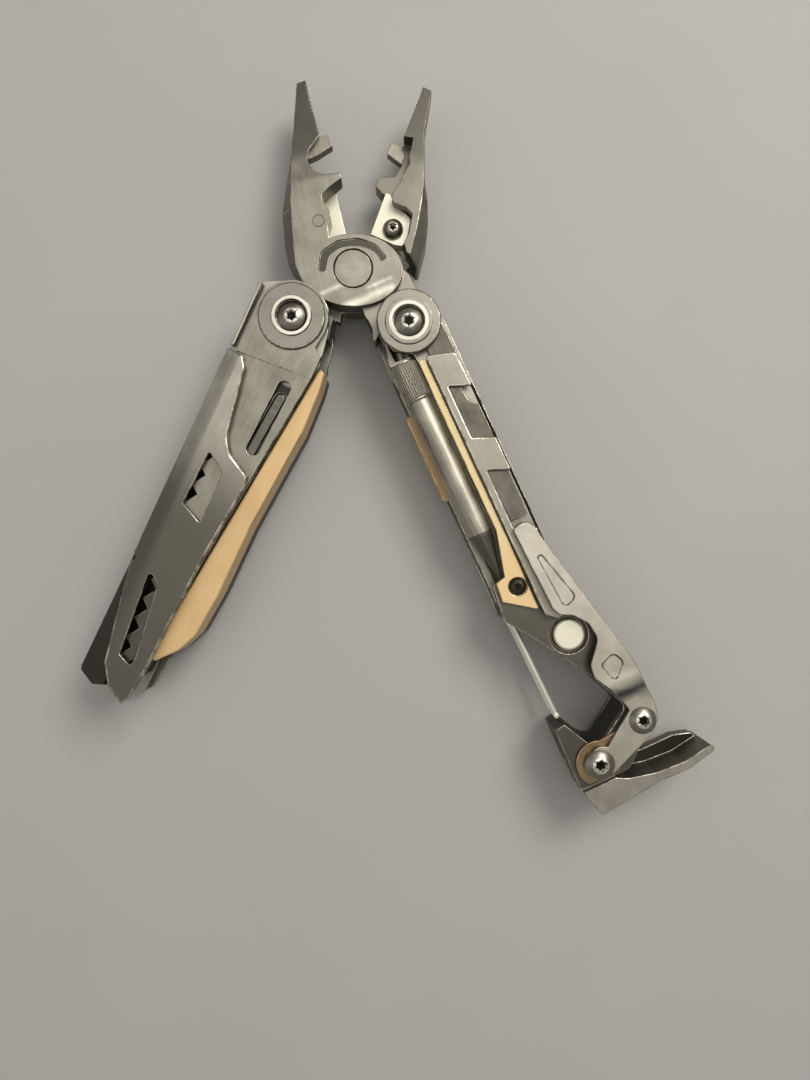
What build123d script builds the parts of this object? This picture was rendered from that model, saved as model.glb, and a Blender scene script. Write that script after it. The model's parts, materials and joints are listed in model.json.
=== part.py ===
from build123d import *
import math
import os

# A carabiner-ended pocket multi tool, lying flat with its pliers and both handles open.
# Every piece is drawn about the tool's mid-plane, z = 0. Plier pieces are drawn about the
# plier pivot. Handle pieces are drawn about their own pivot with X running down the handle
# and Y across it, then turned into place. The whole tool is moved at the end so that the
# middle of its underside is the origin.

# ---- thickness of the stack, measured out from the mid-plane ----
channel_half = 5.5        # half of the space between the liners of a handle
liner_thickness = 1.2
blade_thickness = 1.7     # saw, knife and hook
cover_thickness = 1.1
layer_gap = 0.2           # sliding gap beside a blade
driver_thickness = 1.1    # flat bit driver arm and its bit
slim_cover_thickness = 0.8

# ---- pliers ----
jaw_half = 5.3            # half thickness of the plier head
tang_half = 3.6           # half thickness of the two tangs
lap_gap = 0.05            # from the mid-plane to each lapped disc
jaw_reach = 44.5          # pivot to jaw tip
tip_half = 2.2            # half thickness at the tip
jaw_face_gap = 0.06       # from the centre line to each gripping face
grip_pitch = 0.9
grip_depth = 0.28
tip_flat = 1.0
head_pin_radius = 4.18
insert_thickness = 2.5    # replaceable wire cutter
crimper_thickness = 2.5   # replaceable cap crimper
front_jaw_angle = 104.0   # gripping face, from +X
back_jaw_angle = 69.7
left_pivot = (-13.05, -11.5)
right_pivot = (12.3, -12.6)
tang_eye_radius = 6.8
tang_boss_radius = 3.9

# ---- handle pivots ----
sleeve_radius = 2.9
pivot_clearance = 0.05
left_washer_radius = 7.3
right_washer_radius = 7.0
washer_thickness = 0.55
screw_head_radius = 3.2
pivot_thread_radius = 1.6

# ---- handles ----
left_angle = 245.6
left_length = 95.0        # pivot to the far corner of the frame
left_outer = -9.6         # open side of the blade handle
right_angle = -65.2
right_length = 115.4      # pivot to the hammer face
right_outer = 7.4         # open side of the carabiner handle
right_spine = -7.9
saw_pitch = 4.5
saw_tooth = 1.9
slot_width = 3.0
hub_radius = 7.9           # round root of the saw and the knife
punch_radius = 2.8
punch_collar_radius = 2.95
punch_stub_radius = 1.2
punch_offset = -4.9       # across the handle
punch_sink = 1.45         # its axis below the outside of the front liner
gate_wire_radius = 0.6
gate_leg_height = 3.0
gate_pin_radius = 0.62
button_radius = 3.35
button_hole_floor = -4.0
clip_thickness = 1.1
scraper_thickness = 0.8
clip_screw_radius = 1.6
clip_screw_head = 3.05
tail_screw_head = 3.3
nut_radius = 3.0
nut_height = 1.5
hammer_half = 6.7
scoop_floor = -2.2         # top of the pry edge behind the hammer face

# ---- levels worked out from the stack ----
liner_out = channel_half + liner_thickness
blade_in = liner_out + layer_gap
blade_out = blade_in + blade_thickness
cover_in = blade_out + 0.3
cover_out = cover_in + cover_thickness
punch_height = liner_out - punch_sink
driver_out = blade_in + driver_thickness
slim_cover_in = driver_out + layer_gap
slim_cover_out = slim_cover_in + slim_cover_thickness
clip_in = slim_cover_out + layer_gap
clip_out = clip_in + clip_thickness
scraper_in = liner_out + 0.1
clip_base_in = scraper_in + scraper_thickness + 0.1
clip_base_out = clip_base_in + clip_thickness
bore = sleeve_radius + pivot_clearance

parts = {}


# ---- drawing helpers ----
def outline(points):
    """A closed face. A point is (x, y) or (x, y, corner radius), which its sides may limit."""
    count = len(points)
    spots = [Vector(point[0], point[1]) for point in points]
    turns = []
    for n, point in enumerate(points):
        before, here, after = spots[n - 1], spots[n], spots[(n + 1) % count]
        back, ahead = (before - here).normalized(), (after - here).normalized()
        half = math.radians(back.get_angle(ahead)) / 2
        radius = point[2] if len(point) > 2 else 0
        reach = 0.48 * min((before - here).length, (after - here).length)
        straight = half > math.radians(89.7)
        trim = 0 if straight or radius == 0 else min(radius / math.tan(half), reach)
        middle = here
        if trim:
            toward = (back + ahead).normalized()
            middle = here + toward * (trim / math.cos(half) - trim * math.tan(half))
        turns.append((here + back * trim, middle, here + ahead * trim, trim))
    edges = []
    for n, (start, middle, end, trim) in enumerate(turns):
        if trim:
            edges.append(ThreePointArc(start, middle, end))
        edges.append(Line(end, turns[(n + 1) % count][0]))
    return Face(Wire(edges))


def slab(face, low, high):
    """The face, drawn at z = 0, as a plate from low to high."""
    return Pos(0, 0, low) * extrude(face, high - low, dir=(0, 0, 1))


def plate(points, low, high):
    return slab(outline(points), low, high)


def post(radius, low, high, at=(0, 0)):
    return Pos(at[0], at[1], low) * extrude(Circle(radius), high - low)


def block(x0, x1, y0, y1, z0, z1):
    return Pos((x0 + x1) / 2, (y0 + y1) / 2, (z0 + z1) / 2) * Box(x1 - x0, y1 - y0, z1 - z0)


def bar(start, end, width, low, high):
    """A round-ended bar between two points of the plan."""
    run = Vector(*end) - Vector(*start)
    turn = math.degrees(math.atan2(run.Y, run.X))
    middle = (Vector(*start) + Vector(*end)) / 2
    shape = Pos(middle.X, middle.Y) * Rot(0, 0, turn) * SlotCenterToCenter(run.length, width)
    return slab(shape, low, high)


def side_profile(points, half_width):
    """A prism across the handle whose (x, z) section is given."""
    face = outline(points)
    return Pos(0, half_width, 0) * Rot(90, 0, 0) * slab(face, 0, 2 * half_width)


def flipped(shape):
    """The same piece on the back of the tool."""
    return mirror(shape, about=Plane.XY)


def star_socket(radius, depth, top):
    """Six-lobed driver recess, cut down from top."""
    spokes = [
        (
            (radius if n % 2 else 0.74 * radius) * math.cos(math.radians(30 * n)),
            (radius if n % 2 else 0.74 * radius) * math.sin(math.radians(30 * n)),
        )
        for n in range(12)
    ]
    return plate(spokes, top - depth, top + 1)


def domed_screw(radius, seat, top, shank_radius, shank_end, socket):
    """Button-head screw pointing down, from its seat to the end of its shank."""
    rise = top - seat
    crown = (radius * radius + rise * rise) / (2 * rise)
    ball = Pos(0, 0, top - crown) * Sphere(crown)
    head = post(radius, seat, top) & ball
    shank = post(shank_radius, shank_end, seat)
    return head + shank - star_socket(socket, 0.6 * rise, top)


def add(name, shape, place=Location()):
    parts[name] = place * shape


def single(shape):
    """The shape as one solid, or as a group when it is several."""
    solids = shape.solids()
    return solids[0] if len(solids) == 1 else Compound(children=solids)


# ---- pliers ----
def along_jaw(points, angle, side):
    """Points given as (distance up the gripping line, depth into the jaw)."""
    c, s = math.cos(math.radians(angle)), math.sin(math.radians(angle))
    return [
        (u * c + side * v * s, u * s - side * v * c, *rest)
        for u, v, *rest in points
    ]


def grip(foot):
    """Fine cross teeth of a gripping face, from the tip down to its foot."""
    points = [(jaw_reach, jaw_face_gap)]
    count = int((jaw_reach - tip_flat - foot) / grip_pitch)
    for n in range(count):
        u = jaw_reach - tip_flat - n * grip_pitch
        points += [(u, jaw_face_gap), (u - grip_pitch / 2, jaw_face_gap + grip_depth)]
    return points + [(foot, jaw_face_gap)]


front_side, back_side = -1, 1       # the front jaw is on the left of its gripping line
near_edge = grip(31.0) + [          # toothed layer of the front jaw, tip to pivot
    (29.3, 1.8, 0.5), (28.2, 3.2, 1.0),
    (26.0, 4.0, 1.5), (23.1, 3.4, 1.5), (21.7, 1.0, 1.2), (21.2, -2.3, 0.3),
    (20.0, -2.3, 0.3), (18.6, 0.8), (17.4, 2.7, 0.6), (16.2, 3.0, 0.6), (13.9, 2.0, 0.8),
    (12.0, 2.1, 0.8), (10.4, 3.1),
]
lower_near_edge = grip(31.0) + [    # toothed layer of the back jaw
    (29.6, 1.2, 0.4), (26.9, 1.25, 0.6),
    (24.4, 0.95, 0.8), (22.9, -2.4, 0.5), (21.0, -2.8, 0.4), (19.7, -0.6, 0.3),
    (19.5, 1.6, 0.4), (16.0, 2.4), (10.4, 3.1),
]
far_edge = grip(31.8) + [           # recessed layer of either jaw, round the cutter insert
    (32.3, 2.2, 0.3), (29.7, 2.7, 0.4),
    (27.8, 2.8, 0.5), (26.4, 3.6, 1.0), (24.2, 3.3, 0.8), (20.6, 3.1, 0.8), (18.8, 2.4, 0.5),
    (17.2, 2.7, 0.5), (16.7, 3.6, 0.5), (16.7, 6.3, 0.6), (15.9, 8.1, 0.9), (11.6, 8.8, 0.9),
    (9.0, 8.6, 0.5),
]
deep_far_edge = [(u, v + 1.0 * (31 > u > 17), *rest) for u, v, *rest in far_edge]

left_back = [(-8.4, -5.3), (-11.2, -2.3, 1.5), (-14.8, 2.0, 2.0), (-15.6, 5.9, 3.0),
             (-16.2, 13.3, 5.0), (-15.4, 19.5, 4.0), (-13.5, 30.4)]
left_top_back = [(-8.4, -5.3), (-11.4, -2.6, 1.5), (-12.8, 0.7, 2.0), (-13.3, 6.0, 3.0),
                 (-13.8, 13.3, 5.0), (-13.9, 19.5, 4.0), (-13.4, 30.4)]
right_back = [(11.9, 3.2), (14.3, 0.0, 0.5), (16.1, 6.8, 2.0), (16.6, 11.2, 2.0),
              (16.5, 15.8, 3.0), (15.9, 20.0, 2.0), (15.8, 31.2)]
right_top_back = [(11.9, 3.4), (12.6, 3.0, 0.4), (13.9, 8.0, 2.0), (14.7, 12.0, 2.0),
                  (15.4, 16.5, 3.0), (15.7, 20.0, 2.0), (15.7, 31.2)]
tip_width = 2.2


def jaw_face(inner, outer, angle, side):
    """Plan of one jaw layer, from its gripping edge round the tip and down its back."""
    edge = along_jaw(inner, angle, side)
    tip = along_jaw([(jaw_reach - 0.2, tip_width)], angle, side)
    return outline(edge + outer + tip)


def jaw_taper(angle):
    """Side view of the pliers: full thickness at the pivot, slim at the tip."""
    profile = side_profile(
        [(-60, -jaw_half), (21, -jaw_half), (jaw_reach + 1, -tip_half),
         (jaw_reach + 1, tip_half), (21, jaw_half), (-60, jaw_half)], 60
    )
    return Rot(0, 0, angle) * profile


def bevelled_back(wide, narrow, inner, angle, side, low, high):
    """A jaw layer whose back leans in, from the wide plan to the narrow one."""
    base = Pos(0, 0, low) * jaw_face(inner, wide, angle, side)
    top = Pos(0, 0, high) * jaw_face(inner, narrow, angle, side)
    return loft([base, top], ruled=True)


disc = Pos(0, -0.35) * Ellipse(11.0, 8.05)
lap_circle_radius = 11.25


def right_tang():
    """Arm from the front disc to the pivot of the carabiner handle, with its stop teeth."""
    arm = [
        (0.5, -7.0), (2.0, -8.6), (2.5, -10.2), (3.3, -11.2), (4.1, -12.8), (4.4, -15.6),
        (5.0, -15.6), (6.0, -13.5), (8.0, -16.0), (14.0, -16.0), (18.5, -9.5), (16.6, -6.7),
        (14.0, -4.0), (12.2, -0.6), (9.0, 2.0), (0.0, 2.0),
    ]
    thick = plate(arm, -tang_half, tang_half)
    thick = thick + post(tang_eye_radius, -tang_half, tang_half, right_pivot)
    thick = thick - post(lap_circle_radius, -10, lap_gap)
    boss = post(tang_boss_radius, -jaw_half, jaw_half, right_pivot)
    return thick + boss - post(bore, -9, 9, right_pivot)


def left_tang():
    """Arm from the back disc to the pivot of the blade handle."""
    arm = [
        (-0.5, -7.0), (-3.0, -8.6), (-3.3, -10.7), (-4.2, -10.0), (-5.0, -12.4),
        (-5.6, -15.4), (-6.6, -14.2), (-8.0, -16.0), (-14.0, -15.0), (-19.0, -8.5),
        (-16.0, -5.6), (-12.5, -4.6), (-9.0, -3.0), (-8.0, 2.0), (0.0, 2.0),
    ]
    thick = plate(arm, -tang_half, tang_half)
    thick = thick + post(tang_eye_radius, -tang_half, tang_half, left_pivot)
    thick = thick - post(lap_circle_radius, -lap_gap, 10)
    boss = post(tang_boss_radius, -jaw_half, jaw_half, left_pivot)
    return thick + boss - post(bore, -9, 9, left_pivot)


def crimper(angle, side, low, nose):
    """Cap crimper: a hardened block let into the jaw, its nose passing the other jaw."""
    points = along_jaw(
        [(31.2, nose, 0.4), (28.6, nose - 0.1, 0.4), (27.3, 1.7), (26.8, 4.8, 0.5),
         (31.2, 4.6, 0.5), (31.4, 1.5)], angle, side
    )
    return plate(points, low, low + crimper_thickness)


def cutter_insert(angle, side, low, edge):
    """Wire cutter blade with a bevelled cutting edge and a screw hole."""
    points = along_jaw(
        [(19.2, edge), (19.3, edge + 0.9), (16.9, 3.8, 0.3), (16.5, 6.2, 0.5),
         (15.7, 7.9, 0.8), (11.6, 8.5, 0.8), (9.3, 8.2, 0.5), (8.9, 6.4, 0.3), (9.3, edge)],
        angle, side,
    )
    return plate(points, low, low + insert_thickness)


cutter_screw_place = (12.0, 4.9)    # up the gripping line, into the jaw
cutter_screw_radius = 1.25
cutter_head_radius = 2.35


def make_pliers():
    front_place = along_jaw([cutter_screw_place], front_jaw_angle, front_side)[0]
    back_place = along_jaw([cutter_screw_place], back_jaw_angle, back_side)[0]

    # Front jaw: toothed layer above, recessed layer below, lapped disc and right tang.
    upper = slab(jaw_face(near_edge, left_back, front_jaw_angle, front_side), 0, 1.2)
    upper = upper + bevelled_back(
        left_back, left_top_back, near_edge, front_jaw_angle, front_side, 1.2, jaw_half
    )
    lower = slab(
        jaw_face(deep_far_edge, left_back, front_jaw_angle, front_side), -jaw_half, 0
    )
    lower = lower - post(lap_circle_radius, -jaw_half - 1, lap_gap)
    neck = plate([
        (-8.4, -5.3), (-12.0, 1.0), (-11.5, 9.0), (-5.6, 9.0), (-5.2, 6.0), (0, 5.0), (0, -7.0),
    ], lap_gap, jaw_half)
    front_crimper = crimper(front_jaw_angle, front_side, lap_gap, -2.1)
    front_insert = cutter_insert(
        front_jaw_angle, front_side, lap_gap - insert_thickness, -0.45
    )
    floor_cut = slab(disc, -jaw_half - 1, lap_gap)
    front = (upper + lower) & jaw_taper(front_jaw_angle)
    front = front - post(lap_circle_radius, -jaw_half - 1, lap_gap) - floor_cut
    front = front + neck + slab(disc, lap_gap, jaw_half) + right_tang()
    front = front - front_crimper - front_insert
    front = front - post(head_pin_radius, -9, 9)
    front = front - post(head_pin_radius + 0.15, jaw_half - 0.4, 9)
    front = front - post(cutter_screw_radius, -9, 9, front_place)
    recess = outline([
        (-7.6, -0.6, 0.5), (-7.3, 3.6, 2.5), (-3.5, 6.2, 3.0), (1.0, 6.7, 4.0),
        (5.0, 5.4, 2.5), (7.4, 2.4, 0.5), (6.2, 1.6, 0.4), (4.4, 4.0, 2.5), (1.0, 5.1, 3.5),
        (-2.8, 4.7, 2.5), (-5.6, 2.9, 2.5), (-6.2, -0.6, 0.5),
    ])
    front = front - slab(recess, jaw_half - 0.35, jaw_half + 1)
    add("jaw_front", front)
    add("crimper_front", front_crimper)
    add("cutter_insert_front", front_insert - post(cutter_screw_radius, -9, 9, front_place))

    # Back jaw: the same idea the other way up, with the left tang.
    lower = slab(
        jaw_face(lower_near_edge, right_back, back_jaw_angle, back_side), -jaw_half, 0
    )
    upper = slab(jaw_face(far_edge, right_back, back_jaw_angle, back_side), 0, 2.6)
    upper = upper + bevelled_back(
        right_back, right_top_back, far_edge, back_jaw_angle, back_side, 2.6, jaw_half
    )
    upper = upper - post(lap_circle_radius, -lap_gap, jaw_half + 1)
    neck = plate([(11.5, 1.0), (13.8, 4.0), (11.0, 11.0), (3.4, 7.9), (0, 7), (0, -7),
                  (8, -5)], -jaw_half, -lap_gap)
    back_crimper = crimper(back_jaw_angle, back_side, -lap_gap - crimper_thickness, -2.7)
    back_insert = cutter_insert(back_jaw_angle, back_side, -lap_gap, 0.5)
    back = (lower + upper) & jaw_taper(back_jaw_angle)
    back = back - post(lap_circle_radius, -lap_gap, jaw_half + 1)
    back = back + neck + slab(disc, -jaw_half, -lap_gap) + left_tang()
    back = back - back_crimper - back_insert
    back = back - post(head_pin_radius + pivot_clearance, -9, 9)
    back = back - post(cutter_screw_radius, -9, 9, back_place)
    add("jaw_back", back)
    add("crimper_back", back_crimper)
    add("cutter_insert_back", back_insert - post(cutter_screw_radius, -9, 9, back_place))

    pin = post(head_pin_radius, -jaw_half, jaw_half)
    add("plier_pivot_pin", chamfer(pin.edges().filter_by(GeomType.CIRCLE), 0.15))

    # The front insert is screwed from behind; the end of its screw shows in front.
    head_seat = insert_thickness - lap_gap
    screw = domed_screw(
        cutter_head_radius, head_seat, jaw_half - 0.6, cutter_screw_radius, -jaw_half, 0.95
    )
    add("cutter_screw_back", Pos(*back_place) * screw)
    add("cutter_screw_front", Pos(*front_place) * flipped(screw))


# ---- pieces that both handles use ----
def pivot_hardware(side, place, washer_radius, ring_inner, ring_outer):
    """Sleeve, the two cover washers and the two pivot screws of one handle."""
    level = blade_out + 0.1
    reach = level - 0.05
    sleeve = post(sleeve_radius, -reach, reach)
    sleeve = sleeve - post(pivot_thread_radius, -reach - 1, reach + 1)
    add("pivot_sleeve_" + side, sleeve, place)
    top = level + washer_thickness
    rim = top + 0.45
    seat = level + 0.25
    washer = post(washer_radius, level, top)
    washer = chamfer(washer.edges().group_by(Axis.Z)[-1], 0.25)
    washer = washer + post(ring_outer, top, rim) - post(ring_inner, seat, rim + 1)
    washer = washer - post(pivot_thread_radius + 0.1, level - 1, rim + 1)
    add("washers_" + side, Compound(children=[washer, flipped(washer)]), place)
    screw = domed_screw(screw_head_radius, seat, cover_out, pivot_thread_radius, 0.2, 1.35)
    add("pivot_screws_" + side, Compound(children=[screw, flipped(screw)]), place)


# ---- blade handle ----
tail = left_length


def blade_handle_spine():
    """Plan of the spine that closes the inner side of the blade handle."""
    return [
        (7.6, 9.9), (tail - 15.2, 1.9), (tail - 14.0, 3.1, 0.6), (tail - 18.5, 7.2, 4.0),
        (tail - 23.0, 9.2, 4.0), (tail - 33.0, 10.1, 8.0), (46.0, 10.3, 10.0),
        (30.0, 11.5, 10.0), (22.0, 12.2, 6.0), (11.9, 11.8, 3.0), (7.9, 11.2, 0.8),
    ]


def blade_handle_liner(length):
    """Plan of a liner: round the pivot, straight open side, tapering spine side."""
    return [
        (-4.6, left_outer + 0.2, 1.5), (20.0, left_outer, 20.0), (length - 2.0, -10.8, 1.0),
        (length, -7.0, 0.8), (length - 3.5, 1.6, 1.0), (tail - 15.4, 1.6), (7.2, 9.6, 1.0),
        (0.0, 8.4, 4.0), (-6.0, 6.0, 4.0), (-8.4, -2.0, 4.0),
    ]


def cover_left():
    """Windowed cover plate, bent down along the open side of the handle."""
    plan = [
        (11.8, left_outer, 0.5), (12.2, -5.8, 0.8), (14.5, -4.2, 2.5), (29.8, -1.6, 8.0),
        (32.8, 0.6, 3.0), (35.6, 5.8, 1.6), (37.5, 6.4, 1.2), (55.5, 4.5), (tail - 14.0, 3.3),
        (tail - 5.5, 2.5, 0.8), (tail - 3.6, 1.4, 0.5), (tail - 6.2, -3.1, 0.6),
        (tail - 10.5, -5.8, 1.5), (tail - 22.0, -7.8, 6.0), (tail - 32.5, left_outer - 0.2, 0.4),
        (tail - 33.4, -8.7, 0.4), (tail - 34.6, left_outer - 0.2, 0.4),
    ]
    cover = plate(plan, cover_in, cover_out)
    cover = chamfer(cover.edges().group_by(Axis.Z)[-1], 0.3)
    lean = math.degrees(math.atan2(0.8, 3.4))
    wedge = block(0, tail, -8, 0, 0, 3)
    cover = cover - Pos(0, -6.4, cover_out) * Rot(lean, 0, 0) * wedge
    upper_window = [(34.1, -3.8, 0.3), (36.7, 0.7, 0.3), (48.8, 0.6, 0.3), (46.4, -4.4, 0.3)]
    lower_window = [
        (tail - 32.7, -4.9, 0.6), (tail - 13.4, -3.4, 0.5), (tail - 12.1, -0.4, 0.5),
        (tail - 14.2, 0.0, 0.6), (tail - 30.3, -2.2, 0.6),
    ]
    cover = cover - plate(upper_window, cover_in - 1, cover_out + 1)
    cover = cover - plate(lower_window, cover_in - 1, cover_out + 1)
    wall = block(12.5, tail - 35.0, left_outer - 0.05, left_outer + 0.75, liner_out, cover_in)
    return cover + wall


def blade_tang(low, high):
    """Root of a folding blade: a round hub and a square shoulder."""
    shoulder = plate([
        (0.0, -hub_radius), (11.7, -hub_radius), (10.6, 9.3), (5.0, 9.4, 0.6), (4.4, 7.4, 0.5),
        (0.0, hub_radius, 2.0),
    ], low, high)
    return shoulder + post(hub_radius, low, high)


def thumb_slot(low, high):
    return bar((14.7, 4.8), (29.5, 4.1), slot_width, low, high)


def saw():
    """Saw blade: thick tang, then a thinner blade with a thumb slot and raked teeth."""
    top = blade_out - 0.35
    first, last = (33.0, -4.9), (tail - 11.0, -3.9)
    count = int((last[0] - first[0]) / saw_pitch)
    slope = (last[1] - first[1]) / (last[0] - first[0])
    teeth = []
    for n in range(count):
        x = first[0] + n * saw_pitch
        y = first[1] + n * saw_pitch * slope
        teeth += [(x, y), (x + 0.35 * saw_pitch, y + saw_tooth), (x + saw_pitch - 0.15, y)]
    plan = [(11.0, -7.6), (24.0, -6.6, 8.0)] + teeth + [
        (teeth[-1][0] + 1.8, -2.6, 1.0), (tail - 15.5, 1.3), (10.0, 9.3),
    ]
    body = plate(plan, blade_in, top) + blade_tang(blade_in, blade_out)
    return body - thumb_slot(blade_in - 1, blade_out + 1) - post(bore, 0, 20)


def knife():
    """Drop-point knife blade with a thumb slot and a ground edge."""
    face = -blade_out + 0.2
    plan = [
        (11.0, -7.4), (60.0, -6.6, 30.0), (tail - 14.0, -4.0, 16.0), (tail - 5.0, 0.8),
        (tail - 15.5, 1.3, 10.0), (10.0, 9.3),
    ]
    body = plate(plan, face, -blade_in)
    lean = math.degrees(math.atan2(0.9, 3.2))
    grind = Pos(14, -3.4, face) * Rot(-lean, 0, 0) * block(0, tail, -9, 0, -3, 0)
    body = body - grind + blade_tang(-blade_out, -blade_in)
    return body - thumb_slot(-blade_out - 1, -blade_in + 1) - post(bore, -20, 0)


def make_blade_handle():
    place = Pos(left_pivot[0], left_pivot[1], 0) * Rot(0, 0, left_angle)
    lock_line = ((17.1, 4.7), (tail - 25.0, 0.2))
    lock_width = 1.9
    lock_slot = bar(*lock_line, lock_width + 0.6, channel_half - 1, liner_out + 1)
    liner = plate(blade_handle_liner(tail - 4.0), channel_half, liner_out)
    liner = liner - post(sleeve_radius, 0, 20) - lock_slot
    strip = block(-4.0, 11.0, left_outer + 0.2, left_outer + 0.9, liner_out, blade_out + 0.5)
    add("liner_left_front", liner + strip, place)
    back_liner = plate(blade_handle_liner(tail), -liner_out, -channel_half)
    back_liner = back_liner - post(sleeve_radius, -20, 0) - flipped(lock_slot)
    add("liner_left_back", back_liner, place)
    spring = bar(*lock_line, lock_width, channel_half, liner_out)
    foot = block(tail - 31.0, tail - 22.5, -0.9, 1.2, channel_half - 0.9, channel_half)
    add("lock_spring_left_front", spring + foot, place)
    add("lock_spring_left_back", flipped(spring + foot), place)

    scale = plate(blade_handle_spine(), -1.0, liner_out + 0.1)
    scale = fillet(scale.edges().group_by(Axis.Z)[-1], 0.5)
    add("tan_scale_left", scale, place)
    spine = plate(blade_handle_spine(), -channel_half, -1.0)
    add("spine_left", spine, place)
    spacer = plate([(tail - 13.0, -7.5, 1), (tail - 5.5, -7.5, 1), (tail - 8.0, 0.8, 1),
                    (tail - 13.0, 1.0, 1)], -channel_half, channel_half)
    add("tail_spacer_left", spacer, place)
    stop = post(1.5, -channel_half, channel_half, (tail - 30.5, -6.2))
    add("jaw_stop_pin_left", stop, place)

    add("cover_left_front", cover_left(), place)
    add("cover_left_back", flipped(cover_left()), place)
    add("saw", saw(), place)
    add("knife", knife(), place)
    pivot_hardware("left", place, left_washer_radius, 3.45, 4.35)


# ---- carabiner handle ----
frame_start = right_length - 51.4   # where the solid carabiner end begins
hook = frame_start
stretch = frame_start / 64.0         # carries the front half's features with the length


def loop_edge():
    """Inside of the carabiner loop, from the gate hinge round to the nose."""
    return [
        (hook + 4.1, -8.3, 0.5), (hook + 9.3, -4.4, 3.0), (hook + 22.7, 3.9, 8.0),
        (hook + 31.9, 7.9, 1.6), (hook + 37.4, -0.9, 1.6), (hook + 35.8, -2.8, 1.0),
        (hook + 29.9, -5.9, 0.5), (hook + 30.3, -8.3, 0.5),
    ]


def flare_edge():
    """Outer right side of the carabiner end, from the hammer back to the handle."""
    return [
        (hook + 39.2, 9.5, 1.5), (hook + 36.0, 12.7, 2.0), (hook + 31.0, 13.2, 3.0),
        (hook + 22.0, 12.4, 4.0), (hook + 9.0, 9.5, 6.0), (hook - 6.0, 7.2, 6.0),
    ]


tail_screws = [(hook + 35.5, 9.7), (hook + 40.4, -2.7)]
button_place = (hook + 12.3, 3.2)
gate_pin_place = (hook + 4.7, -6.8)
gate_tip = (hook + 28.2, -6.4)
shell_plan_end = [(hook + 44.4, -8.6, 0.8), (hook + 44.6, 3.0, 1.5)]


def stretched(points):
    """Plan points carried along the right handle with its length."""
    return [(x * stretch, *rest) for x, *rest in points]


def shell_plan(spine_points):
    """Plan of the front or back plate of the carabiner handle."""
    return spine_points + loop_edge() + shell_plan_end + flare_edge() + [
        (2.4, right_outer, 2.0), (-4.5, 6.0, 3.0), (-7.3, 0.0, 3.5), (-5.0, -5.6, 3.0),
    ]


def screw_holes(shape, radius):
    for spot in tail_screws:
        shape = shape - post(radius, -30, 30, spot)
    return shape


def make_shells(place):
    front = plate(shell_plan([
        (0.0, -6.9, 3.0), (4.0, -5.6), (6.6, -1.8), (frame_start - 15.0, -1.8),
        (frame_start - 4.5, -4.1),
        (frame_start - 4.4, -7.4, 0.5),
    ]), channel_half, liner_out)
    front = front - post(sleeve_radius, 0, 20)
    front = front - post(4.3, 0, 20, button_place)
    add("liner_right_front", screw_holes(front, clip_screw_radius), place)

    back = plate(shell_plan([(0.0, -7.4, 3.0), (6.5, right_spine), (40.0, right_spine)]),
                 -liner_out, -channel_half)
    back = back - post(sleeve_radius, -20, 0)
    wall = block(8.5, frame_start, right_spine, right_spine + 1.6, -channel_half, 1.6)
    wall = wall - block(17.8 * stretch, 38.6 * stretch, -20, 20, -20, 20)
    add("frame_right_back", screw_holes(back + wall, clip_screw_radius), place)
    tan_spine = block(17.8 * stretch, 38.6 * stretch, right_spine - 1.1, right_spine + 1.6,
                      -channel_half, 1.6)
    tan_spine = chamfer(tan_spine.edges().filter_by(Axis.Z), 0.5)
    add("tan_spine_right", tan_spine, place)


def make_carabiner(place):
    plan = [(frame_start, right_spine)] + loop_edge() + [
        (hook + 38.8, -8.5), (hook + 38.8, 4.5), (hook + 38.8, 9.8, 1.0),
    ] + flare_edge()[1:5] + [(frame_start, 8.0)]
    core = plate(plan, -channel_half, channel_half)
    pocket = plate([
        (hook + 3.4, -10.0), (hook + 3.4, -5.6), (hook + 6.4, -4.4), (hook + 12.0, -2.2),
        (hook + 12.5, -10.0),
    ], -gate_leg_height - 0.9, gate_leg_height + 0.9)
    core = core - pocket - post(gate_pin_radius, -20, 20, gate_pin_place)
    core = core - post(button_radius + 0.1, button_hole_floor, 20, button_place)
    core = screw_holes(core, clip_screw_radius)
    add("carabiner_frame", core, place)

    add("gate_pin", post(gate_pin_radius, -channel_half, channel_half, gate_pin_place), place)
    run = Vector(*gate_tip) - Vector(*gate_pin_place)
    turn = math.degrees(math.atan2(run.Y, run.X))
    bore_cut = Cylinder(gate_pin_radius + 0.06, 3)
    leg = Pos(run.length / 2, 0, 0) * Rot(0, 90, 0) * Cylinder(gate_wire_radius, run.length)
    side = (leg - bore_cut) + (Cylinder(1.15, 1.3) - bore_cut)
    legs = Pos(0, 0, gate_leg_height) * side + Pos(0, 0, -gate_leg_height) * side
    cross_length = 2 * (gate_leg_height + gate_wire_radius) + 0.3
    cross = Pos(run.length, 0, 0) * Cylinder(gate_wire_radius, cross_length)
    gate = Pos(gate_pin_place[0], gate_pin_place[1], 0) * Rot(0, 0, turn) * (legs + cross)
    add("gate", gate, place)
    coil = post(1.1, -1.9, 1.9, gate_pin_place) - post(gate_pin_radius, -9, 9, gate_pin_place)
    add("gate_spring", coil, place)


def make_button(place):
    """Push button in a blind hole, on its spring."""
    at = Pos(button_place[0], button_place[1], 0)
    cap = post(button_radius, -0.4, liner_out + 0.9)
    cap = fillet(cap.edges().group_by(Axis.Z)[-1], 0.5)
    add("release_button", at * cap, place)
    coil = post(2.6, button_hole_floor, -0.4) - post(1.9, -9, 9)
    add("button_spring", at * coil, place)


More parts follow.
